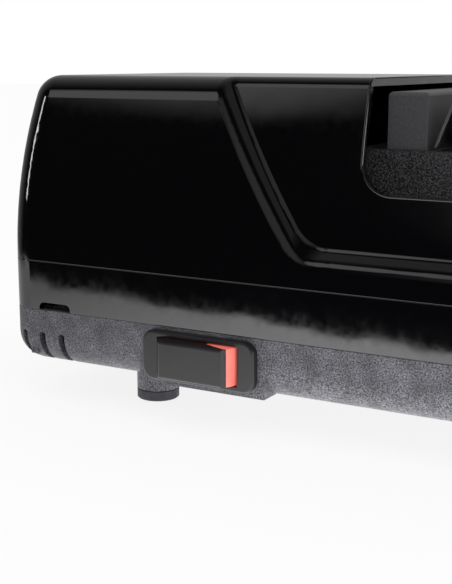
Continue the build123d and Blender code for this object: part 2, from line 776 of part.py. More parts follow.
# Guide leaves: sprung steel flaps that press the blade against the blocks
hinge_z = deck_z + guide_height - leaf_hinge_drop
hinge_offset = ridge_width / 2 + leaf_gap + leaf_thickness / 2
leaf_drop = hinge_z - deck_z - leaf_lift
leaf_run = leaf_drop * math.tan(math.radians(leaf_lean))
leaf_half_length = guide_depth / 2 - leaf_end_gap
for number, x in enumerate(stage_x, 1):
    for name, side in (("left", -1), ("right", 1)):
        with BuildPart() as guide_leaf:
            top = (x + side * hinge_offset, hinge_z)
            foot = (x + side * (hinge_offset + leaf_run), hinge_z - leaf_drop)
            with BuildSketch(Plane.XZ):
                with BuildLine():
                    Line(top, foot)
                trace(line_width=leaf_thickness)
            extrude(amount=leaf_half_length, both=True)
            block(x - guide_half_gap, x + guide_half_gap, -disc_radius - disc_margin,
                  disc_radius + disc_margin, deck_z, deck_z + leaf_arch_lift, Mode.SUBTRACT)
        guide_leaf.part.label = f"guide_leaf_{number}_{name}"
        export_step(guide_leaf.part, f"parts/guide_leaf_{number}_{name}.step")

# Sharpening discs: cone-faced wheels that slide on the shaft, one on each side of a stage's spring
bore = shaft_radius + running_clearance
for number, x in enumerate(stage_x, 1):
    for name, side in (("left", -1), ("right", 1)):
        with BuildPart() as sharpening_disc:
            profile = [
                (disc_seat_offset, bore),
                (disc_hub_offset, bore),
                (disc_hub_offset, disc_hub_radius),
                (disc_rim_offset, disc_radius),
                (disc_back_offset, disc_radius),
                (disc_back_offset, disc_hub_radius),
                (disc_seat_offset, disc_hub_radius),
            ]
            with BuildSketch(Plane.XZ):
                with BuildLine():
                    Polyline(*[(x + side * a, shaft_z + r) for a, r in profile], close=True)
                make_face()
            revolve(axis=Axis((0, 0, shaft_z), (1, 0, 0)))
        sharpening_disc.part.label = f"disc_{number}_{name}"
        export_step(sharpening_disc.part, f"parts/disc_{number}_{name}.step")

# Disc springs: coils round the shaft between the two discs of a stage
for number, x in enumerate(stage_x, 1):
    with BuildPart() as disc_spring:
        coil_length = 2 * (disc_seat_offset - spring_end_gap) - spring_wire
        with BuildLine() as coil:
            coil_start = (x - coil_length / 2, 0, shaft_z)
            Helix(coil_length / spring_turns, coil_length, spring_radius, coil_start, (1, 0, 0))
        with BuildSketch(Plane(coil.line @ 0, z_dir=coil.line % 0)):
            Circle(spring_wire / 2)
        sweep(path=coil.line, is_frenet=True)
    disc_spring.part.label = f"disc_spring_{number}"
    export_step(disc_spring.part, f"parts/disc_spring_{number}.step")

# Shaft, with the collars that stop the discs
with BuildPart() as drive_shaft:
    along_x(shaft_radius, shaft_left_x, shaft_right_x)
drive_shaft.part.label = "drive_shaft"
export_step(drive_shaft.part, "parts/drive_shaft.step")


def tube_along_x(outer, inner, start, end):
    """A round sleeve on the shaft's axis."""
    with BuildSketch(Plane.YZ.offset(start)) as section:
        with Locations((0, shaft_z)):
            Circle(outer)
            Circle(inner, mode=Mode.SUBTRACT)
    extrude(section.sketch, amount=end - start)


with BuildPart() as stop_collars:
    for x in stage_x:
        tube_along_x(disc_hub_radius, shaft_radius, x - disc_hub_offset - collar_width, x - disc_hub_offset)
        tube_along_x(disc_hub_radius, shaft_radius, x + disc_hub_offset, x + disc_hub_offset + collar_width)
stop_collars.part.label = "stop_collars"
export_step(stop_collars.part, "parts/stop_collars.step")

# Sleeve bearings: two in the motor brackets, one at the far end of the guide housing
bearing_starts = {
    "bearing_fan_end": bracket_left_x - bearing_length,
    "bearing_drive_end": bracket_right_x,
    "bearing_outboard": housing_right - bearing_length,
}
for name, start in bearing_starts.items():
    with BuildPart() as bearing:
        tube_along_x(bearing_radius, bore, start, start + bearing_length)
    bearing.part.label = name
    export_step(bearing.part, f"parts/{name}.step")

# Rotor
with BuildPart() as rotor_core:
    tube_along_x(rotor_radius, shaft_radius, stack_left, stack_right)
rotor_core.part.label = "rotor_core"
export_step(rotor_core.part, "parts/rotor_core.step")

with BuildPart() as rotor_end_rings:
    for start in (stack_left - end_ring_length, stack_right):
        tube_along_x(rotor_radius - end_ring_inset, shaft_radius, start, start + end_ring_length)
rotor_end_rings.part.label = "rotor_end_rings"
export_step(rotor_end_rings.part, "parts/rotor_end_rings.step")

# Cooling fan on the free end of the shaft
with BuildPart() as cooling_fan:
    along_x(fan_radius, fan_right_x - fan_plate, fan_right_x)
    along_x(fan_hub_radius, fan_right_x - fan_width, fan_right_x)
    with BuildSketch(Plane.YZ.offset(fan_right_x - fan_width)):
        with Locations((0, shaft_z)):
            with PolarLocations((fan_radius + fan_hub_radius) / 2, fan_blades):
                Rectangle(fan_radius - fan_hub_radius + fan_plate, fan_plate)
    extrude(amount=fan_width)
    along_x(fan_radius, fan_right_x - fan_width, fan_right_x, mode=Mode.INTERSECT)
    along_x(shaft_radius, fan_right_x - fan_width, fan_right_x, mode=Mode.SUBTRACT)
cooling_fan.part.label = "cooling_fan"
export_step(cooling_fan.part, "parts/cooling_fan.step")

# Stator: a C-frame stack with the rotor's bore above and the coil's core below
inner_leg_y = stator_radius - leg_width
with BuildPart() as stator_core:
    along_x(stator_radius, stack_left, stack_right)
    block(stack_left, stack_right, -stator_radius, stator_radius, stator_foot_z, shaft_z)
    along_x(bore_radius, stack_left, stack_right, mode=Mode.SUBTRACT)
    block(stack_left, stack_right, -inner_leg_y, inner_leg_y, core_top_z, window_top_z, Mode.SUBTRACT)
    block(stack_left, stack_right, -inner_leg_y, inner_leg_y, stator_foot_z, core_z, Mode.SUBTRACT)
    for side in (-1, 1):
        along_x(bolt_radius + screw_clearance, stack_left, stack_right, side * leg_y, bolt_z, Mode.SUBTRACT)
    upright_posts(motor_post_places, screw_radius, stator_foot_z, core_z, Mode.SUBTRACT)
stator_core.part.label = "stator_core"
export_step(stator_core.part, "parts/stator_core.step")

# Coil: a flanged bobbin on the core, and the winding on the bobbin
core_mid_x = (stack_left + stack_right) / 2
core_mid_z = (core_z + core_top_z) / 2


def coil_tube(start, end, grow_in, grow_out):
    """A rectangular tube round the core, between two offsets from it."""
    with BuildSketch(Plane.XZ.offset(-start)) as section:
        with Locations((core_mid_x, core_mid_z)):
            Rectangle(stack_length + 2 * grow_out, core_height + 2 * grow_out)
            Rectangle(stack_length + 2 * grow_in, core_height + 2 * grow_in, mode=Mode.SUBTRACT)
    extrude(section.sketch, amount=start - end)


winding_half = inner_leg_y - flange_thickness
with BuildPart() as coil_bobbin:
    coil_tube(-inner_leg_y, inner_leg_y, 0, bobbin_wall)
    coil_tube(-inner_leg_y, -winding_half, 0, coil_grow)
    coil_tube(winding_half, inner_leg_y, 0, coil_grow)
coil_bobbin.part.label = "coil_bobbin"
export_step(coil_bobbin.part, "parts/coil_bobbin.step")

with BuildPart() as coil_winding:
    coil_tube(-winding_half, winding_half, bobbin_wall, coil_grow)
coil_winding.part.label = "coil_winding"
export_step(coil_winding.part, "parts/coil_winding.step")

# Bearing brackets: a plate on two standoffs, with a hub for its bearing
for name, face_x, outward in (
    ("bracket_fan_end", bracket_left_x, -1),
    ("bracket_drive_end", bracket_right_x, 1),
):
    hub_span = sorted((face_x, face_x + outward * bearing_length))
    bolt_span = sorted((face_x + outward * bracket_thickness, face_x - outward * standoff_length))
    with BuildPart() as bracket:
        with BuildSketch(Plane.YZ.offset(face_x)):
            with Locations((0, shaft_z)):
                Circle(bearing_radius + hub_wall)
            with Locations((-leg_y, bolt_z), (leg_y, bolt_z)):
                Circle(standoff_radius)
            make_hull()
        extrude(amount=outward * bracket_thickness)
        along_x(bearing_radius + hub_wall, *hub_span)
        along_x(bearing_radius, *hub_span, mode=Mode.SUBTRACT)
        for side in (-1, 1):
            along_x(standoff_radius, *bolt_span, side * leg_y, bolt_z)
            along_x(bolt_radius + screw_clearance, *bolt_span, side * leg_y, bolt_z, Mode.SUBTRACT)
    bracket.part.label = name
    export_step(bracket.part, f"parts/{name}.step")

# Bolts through both brackets and the stack, and their nuts
bolt_left_x = bracket_left_x - bracket_thickness
bolt_right_x = bracket_right_x + bracket_thickness
with BuildPart() as motor_bolts:
    for side in (-1, 1):
        along_x(screw_head_radius, bolt_left_x - screw_head_height, bolt_left_x, side * leg_y, bolt_z)
        along_x(bolt_radius, bolt_left_x, bolt_right_x + nut_height + shaft_stub, side * leg_y, bolt_z)
motor_bolts.part.label = "motor_bolts"
export_step(motor_bolts.part, "parts/motor_bolts.step")

with BuildPart() as motor_nuts:
    with BuildSketch(Plane.YZ.offset(bolt_right_x)):
        with Locations((-leg_y, bolt_z), (leg_y, bolt_z)):
            RegularPolygon(screw_head_radius, 6)
            Circle(bolt_radius, mode=Mode.SUBTRACT)
    extrude(amount=nut_height)
motor_nuts.part.label = "motor_nuts"
export_step(motor_nuts.part, "parts/motor_nuts.step")

# Lead wires inside the base: gland to switch, gland to coil, switch to coil
gland_end_y = half_y - case_wall - gland_lip_width - wire_gap
coil_low_z = core_mid_z - core_height / 2 - coil_grow
wire_bend_y = leg_y + post_radius + wire_bend
wire_a_x = gland_x + wire_spacing / 2
wire_b_x = gland_x - wire_spacing / 2
coil_entry_x = core_mid_x - wire_spacing / 2
return_x = core_mid_x + 2 * wire_spacing
wire_paths = (
    (
        (wire_a_x, gland_end_y, gland_z),
        (wire_a_x, wire_bend_y + 2 * wire_bend, gland_z),
        (terminal_x[0], wire_bend_y, switch_z),
        (terminal_x[0], terminal_end_y, switch_z),
    ),
    (
        (wire_b_x, gland_end_y, gland_z),
        (wire_b_x, wire_bend_y + 2 * wire_bend, gland_z),
        (coil_entry_x, wire_bend_y, gland_z),
        (coil_entry_x, wire_bend, gland_z),
        (coil_entry_x, wire_bend, coil_low_z),
    ),
    (
        (terminal_x[1], terminal_end_y, switch_z),
        (terminal_x[1], -2 * wire_bend, switch_z),
        (return_x, -wire_bend, switch_z),
        (return_x, -wire_bend, coil_low_z),
    ),
)
with BuildPart() as lead_wires:
    for points in wire_paths:
        with BuildLine() as route:
            FilletPolyline(*points, radius=wire_bend)
        with BuildSketch(Plane(route.line @ 0, z_dir=route.line % 0)):
            Circle(wire_radius)
        sweep(path=route.line)
lead_wires.part.label = "lead_wires"
export_step(lead_wires.part, "parts/lead_wires.step")
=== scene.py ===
import math
import bmesh
import bpy
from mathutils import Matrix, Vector


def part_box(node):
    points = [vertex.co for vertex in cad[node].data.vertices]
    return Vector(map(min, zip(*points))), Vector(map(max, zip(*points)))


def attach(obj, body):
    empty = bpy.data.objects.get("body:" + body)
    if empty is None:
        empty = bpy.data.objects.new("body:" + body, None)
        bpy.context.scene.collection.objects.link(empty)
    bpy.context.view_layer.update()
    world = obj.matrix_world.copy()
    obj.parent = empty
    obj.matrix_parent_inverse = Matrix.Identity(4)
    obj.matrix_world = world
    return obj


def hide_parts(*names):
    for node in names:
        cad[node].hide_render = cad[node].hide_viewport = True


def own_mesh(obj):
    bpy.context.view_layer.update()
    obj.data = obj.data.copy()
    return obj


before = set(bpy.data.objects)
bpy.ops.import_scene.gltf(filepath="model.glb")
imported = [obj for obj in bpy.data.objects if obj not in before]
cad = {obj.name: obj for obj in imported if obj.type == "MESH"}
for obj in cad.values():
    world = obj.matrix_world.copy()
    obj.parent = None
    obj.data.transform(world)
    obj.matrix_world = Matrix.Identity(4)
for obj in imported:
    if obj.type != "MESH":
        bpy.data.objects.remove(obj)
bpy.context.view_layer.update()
bpy.ops.object.select_all(action="DESELECT")


# Upper cover and band: injection moulded gloss ABS, black right through, from a polished tool.
# The skin sinks a little over the ribs behind it, so what it mirrors wavers, and fine dust dulls it.
# The two shells meet in a narrow open seam, each with a crisp edge that is just broken.
def linear(hex_code):
    """A linear colour from an sRGB hex value."""
    parts = [int(hex_code[i:i + 2], 16) / 255 for i in (0, 2, 4)]
    return tuple(c / 12.92 if c <= 0.04045 else ((c + 0.055) / 1.055) ** 2.4 for c in parts) + (1.0,)


def add_node(tree, kind, settings=None, links=None):
    """Adds a node, sets its sockets or properties by name, and links sockets from (node, output)."""
    node = tree.nodes.new(kind)
    for name, value in (settings or {}).items():
        if name in node.inputs:
            node.inputs[name].default_value = value
        else:
            setattr(node, name, value)
    for name, (source, output) in (links or {}).items():
        tree.links.new(source.outputs[output], node.inputs[name])
    return node


def start_finish(name, **constants):
    """A new material with the constants set on its shader: the material, its tree and its shader."""
    material = bpy.data.materials.new(name)
    material.use_nodes = True
    shader = material.node_tree.nodes["Principled BSDF"]
    for socket, value in constants.items():
        shader.inputs[socket.replace("_", " ")].default_value = value
    return material, material.node_tree, shader


def set_ramp(ramp, low, low_colour, high, high_colour):
    """Sets both ends of a colour ramp."""
    ramp.color_ramp.elements[0].position = low
    ramp.color_ramp.elements[0].color = linear(low_colour)
    ramp.color_ramp.elements[1].position = high
    ramp.color_ramp.elements[1].color = linear(high_colour)


def give(material, *names):
    """Gives CAD nodes this material in place of their plain one."""
    for name in names:
        cad[name].data.materials.clear()
        cad[name].data.materials.append(material)


gloss_abs, tree, shader = start_finish("gloss_black_abs", Base_Color=linear("030305"), IOR=1.54)
shader.inputs["Specular IOR Level"].default_value = 1.0
place = add_node(tree, "ShaderNodeTexCoord")
sink_mm = 13
sinks = add_node(tree, "ShaderNodeTexNoise", {"Scale": 1000 / sink_mm, "Detail": 1.0},
                 {"Vector": (place, "Object")})
dust_mm = 2.5
dust = add_node(tree, "ShaderNodeTexNoise", {"Scale": 1000 / dust_mm, "Detail": 4.0},
                {"Vector": (place, "Object")})
dull = add_node(tree, "ShaderNodeMapRange",
                {"From Min": 0.35, "From Max": 0.75, "To Min": 0.05, "To Max": 0.10},
                {"Value": (dust, "Fac")})
broken_edge_mm = 0.05
rounded = add_node(tree, "ShaderNodeBevel", {"Radius": broken_edge_mm / 1000, "samples": 4})
sink_depth_mm = 0.05
waver = add_node(tree, "ShaderNodeBump", {"Strength": 1.0, "Distance": sink_depth_mm / 1000},
                 {"Height": (sinks, "Fac"), "Normal": (rounded, "Normal")})
tree.links.new(dull.outputs["Result"], shader.inputs["Roughness"])
tree.links.new(waver.outputs["Normal"], shader.inputs["Normal"])
give(gloss_abs, "upper_cover", "case_band")

# Window lip: a thin raised bead, moulded with the cover, all round the edge of the knife window.
# It is the window's sharp outer edge, drawn off the cover, given a round section and kept below its top.
lip_radius = 0.0004
top_clearance = lip_radius / 8
sharp_turn = math.radians(55)
cover_middle_z = 0.060
merge_distance = 1e-6
window_low = Vector((-0.001, -1.0, 0.075))
window_high = Vector((0.105, 1.0, 1.0))
shell = bmesh.new()
shell.from_mesh(cad["upper_cover"].data)
bmesh.ops.remove_doubles(shell, verts=shell.verts, dist=merge_distance)
lip_points = []
lip_runs = []
for edge in shell.edges:
    middle = (edge.verts[0].co + edge.verts[1].co) / 2
    inside = all(low < c < high for low, c, high in zip(window_low, middle, window_high))
    if inside and edge.calc_face_angle() > sharp_turn:
        outward = Vector((0.0, middle.y, middle.z - cover_middle_z)).normalized()
        skin = max((face.normal.dot(outward) for face in edge.link_faces), key=abs)
        if skin > 0:
            lip_runs.append((len(lip_points), len(lip_points) + 1))
            lip_points.extend(tuple(v.co) for v in edge.verts)
shell.free()
lip_mesh = bpy.data.meshes.new("window_lip")
lip_mesh.from_pydata(lip_points, lip_runs, [])
lip = bpy.data.objects.new("window_lip", lip_mesh)
bpy.context.collection.objects.link(lip)
bpy.context.view_layer.objects.active = lip
lip.select_set(True)
bpy.ops.object.mode_set(mode="EDIT")
bpy.ops.mesh.select_all(action="SELECT")
bpy.ops.mesh.remove_doubles(threshold=merge_distance)
bpy.ops.object.mode_set(mode="OBJECT")
bpy.ops.object.convert(target="CURVE")
lip.data.bevel_depth = lip_radius
lip.data.bevel_resolution = 2
bpy.ops.object.convert(target="MESH")
lip = bpy.context.object
lip_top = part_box("upper_cover")[1][2] - top_clearance
for corner in lip.data.vertices:
    corner.co.z = min(corner.co.z, lip_top)
bpy.ops.object.shade_smooth()
lip.data.materials.clear()
lip.data.materials.append(gloss_abs)
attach(lip, "case")
bpy.ops.object.select_all(action="DESELECT")

# Base tray and clean-out door: charcoal ABS from a spark-eroded tool, which leaves an even, sandy grain.
# The grain is about 0.3 mm on such a tool; it is drawn at 0.5 mm so that it shows at this distance, and
# handling leaves it patchy.
grained_abs, tree, shader = start_finish("spark_grained_charcoal_abs", IOR=1.52, Roughness=0.5)
place = add_node(tree, "ShaderNodeTexCoord")
grain_mm = 0.5
grain = add_node(tree, "ShaderNodeTexNoise", {"Scale": 1000 / grain_mm, "Detail": 3.0, "Roughness": 0.6},
                 {"Vector": (place, "Object")})
patch_mm = 5
patches = add_node(tree, "ShaderNodeTexNoise", {"Scale": 1000 / patch_mm, "Detail": 3.0},
                   {"Vector": (place, "Object")})
speckle = add_node(tree, "ShaderNodeValToRGB", {}, {"Fac": (grain, "Fac")})
set_ramp(speckle, 0.36, "101012", 0.66, "82828a")
shade = add_node(tree, "ShaderNodeMapRange",
                 {"From Min": 0.3, "From Max": 0.7, "To Min": 0.66, "To Max": 1.3},
                 {"Value": (patches, "Fac")})
tint = add_node(tree, "ShaderNodeHueSaturation", {},
                {"Color": (speckle, "Color"), "Value": (shade, "Result")})
edge_mm = 0.4
rounded = add_node(tree, "ShaderNodeBevel", {"Radius": edge_mm / 1000, "samples": 4})
pit_depth_mm = 0.12
pits = add_node(tree, "ShaderNodeBump", {"Strength": 0.9, "Distance": pit_depth_mm / 1000},
                {"Height": (grain, "Fac"), "Normal": (rounded, "Normal")})
tree.links.new(tint.outputs["Color"], shader.inputs["Base Color"])
tree.links.new(pits.outputs["Normal"], shader.inputs["Normal"])
give(grained_abs, "base_tray", "cleanout_door")

# Foot pads and cord gland: moulded black rubber. Each pad's stem is pressed into its post, and the gland
# sits in the back of the base.
# A faint bloom on the fine matte skin makes the black look grey and soft.
rubber, tree, shader = start_finish("moulded_black_rubber", IOR=1.5)
shader.inputs["Specular IOR Level"].default_value = 0.35
place = add_node(tree, "ShaderNodeTexCoord")
bloom_mm = 3
bloom = add_node(tree, "ShaderNodeTexNoise", {"Scale": 1000 / bloom_mm, "Detail": 5.0},
                 {"Vector": (place, "Object")})
grey = add_node(tree, "ShaderNodeValToRGB", {}, {"Fac": (bloom, "Fac")})
set_ramp(grey, 0.3, "343437", 0.75, "4a4a4e")
matte = add_node(tree, "ShaderNodeMapRange", {"To Min": 0.6, "To Max": 0.8}, {"Value": (bloom, "Fac")})
tree.links.new(grey.outputs["Color"], shader.inputs["Base Color"])
tree.links.new(matte.outputs["Result"], shader.inputs["Roughness"])
give(rubber, "foot_pads", "cord_gland")

# Switch bezel, rocker cap and switch body: satin black ABS straight from a fine-honed tool.
# The skin spreads what it mirrors into a soft even sheen; thumbs have polished it here and there.
satin_abs, tree, shader = start_finish("satin_black_abs", IOR=1.54)
shader.inputs["Specular IOR Level"].default_value = 0.48
place = add_node(tree, "ShaderNodeTexCoord")
handling_mm = 6
handling = add_node(tree, "ShaderNodeTexNoise", {"Scale": 1000 / handling_mm, "Detail": 5.0},
                    {"Vector": (place, "Object")})
grey = add_node(tree, "ShaderNodeValToRGB", {}, {"Fac": (handling, "Fac")})
set_ramp(grey, 0.3, "18181a", 0.7, "222224")
satin = add_node(tree, "ShaderNodeMapRange", {"To Min": 0.24, "To Max": 0.36},
                 {"Value": (handling, "Fac")})
edge_mm = 0.5
rounded = add_node(tree, "ShaderNodeBevel", {"Radius": edge_mm / 1000, "samples": 6})
tree.links.new(grey.outputs["Color"], shader.inputs["Base Color"])
tree.links.new(satin.outputs["Result"], shader.inputs["Roughness"])
tree.links.new(rounded.outputs["Normal"], shader.inputs["Normal"])
give(satin_abs, "switch_bezel", "rocker_cap", "switch_body")

# Rocker core: translucent red polycarbonate, moulded with its pivot pins, under the black cap.
# It is given a painted glow: a weak red emission lightens it, though the switch holds no lamp.
red_with_painted_glow, tree, shader = start_finish("translucent_red_polycarbonate", IOR=1.58, Roughness=0.28)
# Painted glow: this emission brightens the red core; nothing in the switch lights it.
shader.inputs["Emission Color"].default_value = linear("ff6e60")
shader.inputs["Emission Strength"].default_value = 0.3
place = add_node(tree, "ShaderNodeTexCoord")
depth_mm = 5
cloud = add_node(tree, "ShaderNodeTexNoise", {"Scale": 1000 / depth_mm, "Detail": 2.0},
                 {"Vector": (place, "Object")})
red = add_node(tree, "ShaderNodeValToRGB", {}, {"Fac": (cloud, "Fac")})
set_ramp(red, 0.3, "ea7066", 0.7, "f4857b")
edge_mm = 0.4
rounded = add_node(tree, "ShaderNodeBevel", {"Radius": edge_mm / 1000, "samples": 4})
tree.links.new(red.outputs["Color"], shader.inputs["Base Color"])
tree.links.new(rounded.outputs["Normal"], shader.inputs["Normal"])
give(red_with_painted_glow, "rocker_core")

# Guide housing: black ABS with a coarse leather-like grain, so that filings do not show on the apron.
# The colour follows the pebbles' height: painted shade darkens the hollows and a painted highlight lightens
# the crowns.
coarse_abs, tree, shader = start_finish("coarse_grained_black_abs", IOR=1.52, Roughness=0.42)
place = add_node(tree, "ShaderNodeTexCoord")
pebble_mm = 0.5
pebbles = add_node(tree, "ShaderNodeTexNoise",
                   {"Scale": 1000 / pebble_mm, "Detail": 4.0, "Roughness": 0.65},
                   {"Vector": (place, "Object")})
# Painted shade and highlight: this ramp darkens the low hollows of the pebbles and lightens their crowns.
black = add_node(tree, "ShaderNodeValToRGB", {}, {"Fac": (pebbles, "Fac")})
set_ramp(black, 0.44, "040406", 0.70, "545458")
hollow_depth_mm = 0.3
hollows = add_node(tree, "ShaderNodeBump", {"Strength": 1.0, "Distance": hollow_depth_mm / 1000},
                   {"Height": (pebbles, "Fac")})
tree.links.new(black.outputs["Color"], shader.inputs["Base Color"])
tree.links.new(hollows.outputs["Normal"], shader.inputs["Normal"])
give(coarse_abs, "guide_housing")

# Guide blocks and ridges: smooth grey acetal, moulded, and set on the deck of the guide housing.
# Blades that slide along it leave faint lengthwise rubs.
acetal, tree, shader = start_finish("smooth_grey_acetal", IOR=1.48)
place = add_node(tree, "ShaderNodeTexCoord")
rub_stretch = 0.04
stretch = add_node(tree, "ShaderNodeMapping", {"Scale": (1.0, rub_stretch, 1.0)},
                   {"Vector": (place, "Object")})
rub_mm = 0.7
rubs = add_node(tree, "ShaderNodeTexNoise", {"Scale": 1000 / rub_mm, "Detail": 3.0},
                {"Vector": (stretch, "Vector")})
grey = add_node(tree, "ShaderNodeValToRGB", {}, {"Fac": (rubs, "Fac")})
set_ramp(grey, 0.3, "404042", 0.75, "505053")
satin = add_node(tree, "ShaderNodeMapRange", {"To Min": 0.35, "To Max": 0.5}, {"Value": (rubs, "Fac")})
edge_mm = 0.4
rounded = add_node(tree, "ShaderNodeBevel", {"Radius": edge_mm / 1000, "samples": 4})
tree.links.new(grey.outputs["Color"], shader.inputs["Base Color"])
tree.links.new(satin.outputs["Result"], shader.inputs["Roughness"])
tree.links.new(rounded.outputs["Normal"], shader.inputs["Normal"])
give(acetal, "guide_block_1", "guide_block_2", "guide_block_3", "guide_block_4")
give(acetal, "guide_ridge_1", "guide_ridge_2", "guide_ridge_3")

# Guide leaves: cold-rolled spring steel strip, sheared, with its edges rounded, and hung from the ridges.
# It is brushed along its length, which draws its reflections out into fine lines.
spring_steel, tree, shader = start_finish("brushed_spring_steel", Metallic=1.0)
place = add_node(tree, "ShaderNodeTexCoord")
brush_stretch = 0.02
stretch = add_node(tree, "ShaderNodeMapping", {"Scale": (1.0, brush_stretch, 1.0)},
                   {"Vector": (place, "Object")})
brush_mm = 0.25
lines = add_node(tree, "ShaderNodeTexNoise", {"Scale": 1000 / brush_mm, "Detail": 3.0},
                 {"Vector": (stretch, "Vector")})
steel = add_node(tree, "ShaderNodeValToRGB", {}, {"Fac": (lines, "Fac")})
set_ramp(steel, 0.3, "a9a9ab", 0.7, "cdcdcf")
polish = add_node(tree, "ShaderNodeMapRange", {"To Min": 0.22, "To Max": 0.38},
                  {"Value": (lines, "Fac")})
edge_mm = 0.25
rounded = add_node(tree, "ShaderNodeBevel", {"Radius": edge_mm / 1000, "samples": 4})
tree.links.new(steel.outputs["Color"], shader.inputs["Base Color"])
tree.links.new(polish.outputs["Result"], shader.inputs["Roughness"])
tree.links.new(rounded.outputs["Normal"], shader.inputs["Normal"])
for stage in (1, 2, 3):
    give(spring_steel, f"guide_leaf_{stage}_left", f"guide_leaf_{stage}_right")

# Sharpening discs: steel cones plated with diamond grit, a sandy grey that sparkles a little.
# The grit is far finer than a pixel, so it is drawn at 0.5 mm to show at all.
diamond_plate, tree, shader = start_finish("diamond_plated_steel", Metallic=0.7, Roughness=0.5)
place = add_node(tree, "ShaderNodeTexCoord")
grit_mm = 0.5
grit = add_node(tree, "ShaderNodeTexVoronoi", {"Scale": 1000 / grit_mm}, {"Vector": (place, "Object")})
sand = add_node(tree, "ShaderNodeValToRGB", {}, {"Fac": (grit, "Distance")})
set_ramp(sand, 0.0, "a8a49c", 1.0, "5c5953")
peak_height_mm = 0.1
peaks = add_node(tree, "ShaderNodeBump",
                 {"Strength": 0.7, "Distance": peak_height_mm / 1000, "invert": True},
                 {"Height": (grit, "Distance")})
tree.links.new(sand.outputs["Color"], shader.inputs["Base Color"])
tree.links.new(peaks.outputs["Normal"], shader.inputs["Normal"])
for stage in (1, 2, 3):
    give(diamond_plate, f"disc_{stage}_left", f"disc_{stage}_right")

# Screws, bolts and nuts: cold-headed steel that holds the case, the motor, the guide housing and the door.
# Its bright zinc plate is faintly blue and a little cloudy.
zinc_plate, tree, shader = start_finish("zinc_plated_steel", Metallic=1.0)
place = add_node(tree, "ShaderNodeTexCoord")
cloud_mm = 1.5
cloud = add_node(tree, "ShaderNodeTexNoise", {"Scale": 1000 / cloud_mm, "Detail": 4.0},
                 {"Vector": (place, "Object")})
zinc = add_node(tree, "ShaderNodeValToRGB", {}, {"Fac": (cloud, "Fac")})
set_ramp(zinc, 0.3, "a6aab0", 0.7, "c9ccd1")
polish = add_node(tree, "ShaderNodeMapRange", {"To Min": 0.25, "To Max": 0.45},
                  {"Value": (cloud, "Fac")})
edge_mm = 0.2
rounded = add_node(tree, "ShaderNodeBevel", {"Radius": edge_mm / 1000, "samples": 4})
tree.links.new(zinc.outputs["Color"], shader.inputs["Base Color"])
tree.links.new(polish.outputs["Result"], shader.inputs["Roughness"])
tree.links.new(rounded.outputs["Normal"], shader.inputs["Normal"])
give(zinc_plate, "case_screws", "motor_screws", "guide_screws", "door_screw", "motor_bolts", "motor_nuts")

# Shaft and stop collars: bright steel, ground to size, with fine rings from turning.
# The collars are pressed on the shaft and stop the discs at the ends of their travel.
bright_steel, tree, shader = start_finish("ground_bright_steel", Metallic=1.0)
place = add_node(tree, "ShaderNodeTexCoord")
ring_stretch = 0.02
stretch = add_node(tree, "ShaderNodeMapping", {"Scale": (1.0, ring_stretch, ring_stretch)},
                   {"Vector": (place, "Object")})
turning_mm = 0.3
rings = add_node(tree, "ShaderNodeTexNoise", {"Scale": 1000 / turning_mm, "Detail": 2.0},
                 {"Vector": (stretch, "Vector")})
steel = add_node(tree, "ShaderNodeValToRGB", {}, {"Fac": (rings, "Fac")})
set_ramp(steel, 0.3, "b4b4b6", 0.7, "d2d2d4")
polish = add_node(tree, "ShaderNodeMapRange", {"To Min": 0.15, "To Max": 0.3}, {"Value": (rings, "Fac")})
tree.links.new(steel.outputs["Color"], shader.inputs["Base Color"])
tree.links.new(polish.outputs["Result"], shader.inputs["Roughness"])
give(bright_steel, "drive_shaft", "stop_collars")

# Disc springs: coils of bright drawn wire round the shaft, one between the two discs of each stage.
# Each is shown as two halves that meet in the middle.
wire_merge = 1e-7
smooth_turn = math.radians(40)
for stage in (1, 2, 3):
    node_name = f"disc_spring_{stage}"
    low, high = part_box(node_name)
    middle_x = (low[0] + high[0]) / 2
    for side in ("left", "right"):
        half = bpy.data.objects.new(f"{node_name}_{side}_half", cad[node_name].data.copy())
        bpy.context.collection.objects.link(half)
        bpy.context.view_layer.objects.active = half
        half.select_set(True)
        bpy.ops.object.mode_set(mode="EDIT")
        bpy.ops.mesh.select_all(action="SELECT")
        bpy.ops.mesh.remove_doubles(threshold=wire_merge)
        bpy.ops.mesh.bisect(plane_co=(middle_x, 0.0, 0.0), plane_no=(1.0, 0.0, 0.0), use_fill=True,
                            clear_inner=side == "right", clear_outer=side == "left")
        bpy.ops.object.mode_set(mode="OBJECT")
        bpy.ops.object.shade_smooth_by_angle(angle=smooth_turn)
        half.data.materials.clear()
        half.data.materials.append(bright_steel)
        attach(half, "drive")
        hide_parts(node_name)
        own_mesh(half)
        bpy.ops.object.select_all(action="DESELECT")

# Stator and rotor cores: electrical steel sheets of 0.5 mm, stacked and dipped in brown varnish.
# The stator is bolted between the brackets. The sheets' edges show as fine even lines across the stack.
laminations, tree, shader = start_finish("varnished_laminations", Metallic=0.6, Roughness=0.4)
place = add_node(tree, "ShaderNodeTexCoord")
sheet_mm = 0.5
wave_rate = 20
sheet_scale = 2 * math.pi * 1000 / sheet_mm / wave_rate
sheets = add_node(tree, "ShaderNodeTexWave", {"Scale": sheet_scale, "Distortion": 0.0},
                  {"Vector": (place, "Object")})
steel = add_node(tree, "ShaderNodeValToRGB", {}, {"Fac": (sheets, "Fac")})
set_ramp(steel, 0.2, "3c3631", 0.9, "6d675f")
sheet_step_mm = 0.1
edges = add_node(tree, "ShaderNodeBump", {"Strength": 0.5, "Distance": sheet_step_mm / 1000},
                 {"Height": (sheets, "Fac")})
tree.links.new(steel.outputs["Color"], shader.inputs["Base Color"])
tree.links.new(edges.outputs["Normal"], shader.inputs["Normal"])
give(laminations, "stator_core", "rotor_core")

